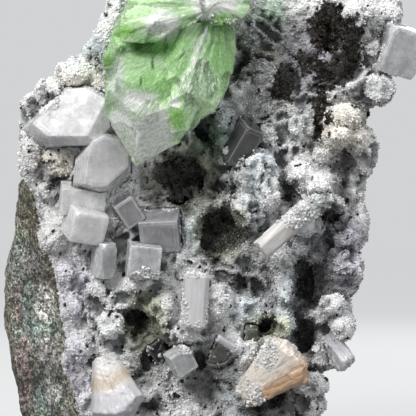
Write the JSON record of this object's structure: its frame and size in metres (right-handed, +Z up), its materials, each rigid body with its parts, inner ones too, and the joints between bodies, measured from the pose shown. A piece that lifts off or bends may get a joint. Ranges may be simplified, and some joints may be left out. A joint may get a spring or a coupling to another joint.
{
  "type": "apophyllite cluster",
  "caption": "Upright mineral specimen: a green apophyllite sheaf with clear apophyllite and stilbite crystals on sugary quartz druse over basalt.",
  "frame": {"origin": "middle of the specimen's outline at the level of its flat-cut underside", "axes": "+Z up the height of the specimen, -Y out of the crystal side, +X to the right as seen from the crystal side"},
  "size_m": [0.1187, 0.0718, 0.149],
  "materials": {
    "basalt": "rough broken basalt, brown and grey-green",
    "druse": "sugary, glittering quartz",
    "green_crystal": "vitreous, translucent green",
    "clear_crystal": "vitreous, translucent, colourless",
    "white_stilbite": "pearly, cream white",
    "peach_stilbite": "pearly, peach to white"
  },
  "bodies": {
    "root": {"basalt_matrix": "basalt", "quartz_druse": "druse", "green_apophyllite": "green_crystal", "clear_apophyllite_pair": "clear_crystal", "clear_apophyllite_shelf": "clear_crystal", "clear_apophyllite_terrace": "clear_crystal", "clear_apophyllite_tilted": "clear_crystal", "clear_apophyllite_block": "clear_crystal", "clear_apophyllite_cube": "clear_crystal", "clear_apophyllite_prism": "clear_crystal", "clear_apophyllite_shaded": "clear_crystal", "clear_apophyllite_edge": "clear_crystal", "clear_apophyllite_low": "clear_crystal", "clear_apophyllite_dark": "clear_crystal", "clear_apophyllite_smoky": "clear_crystal", "clear_apophyllite_nook": "clear_crystal", "stilbite_orange_bundle": "peach_stilbite", "stilbite_cream_bundle": "white_stilbite", "stilbite_white": "white_stilbite", "stilbite_peach": "peach_stilbite", "stilbite_corner": "white_stilbite", "stilbite_splinter": "white_stilbite"}
  },
  "joints": []
}
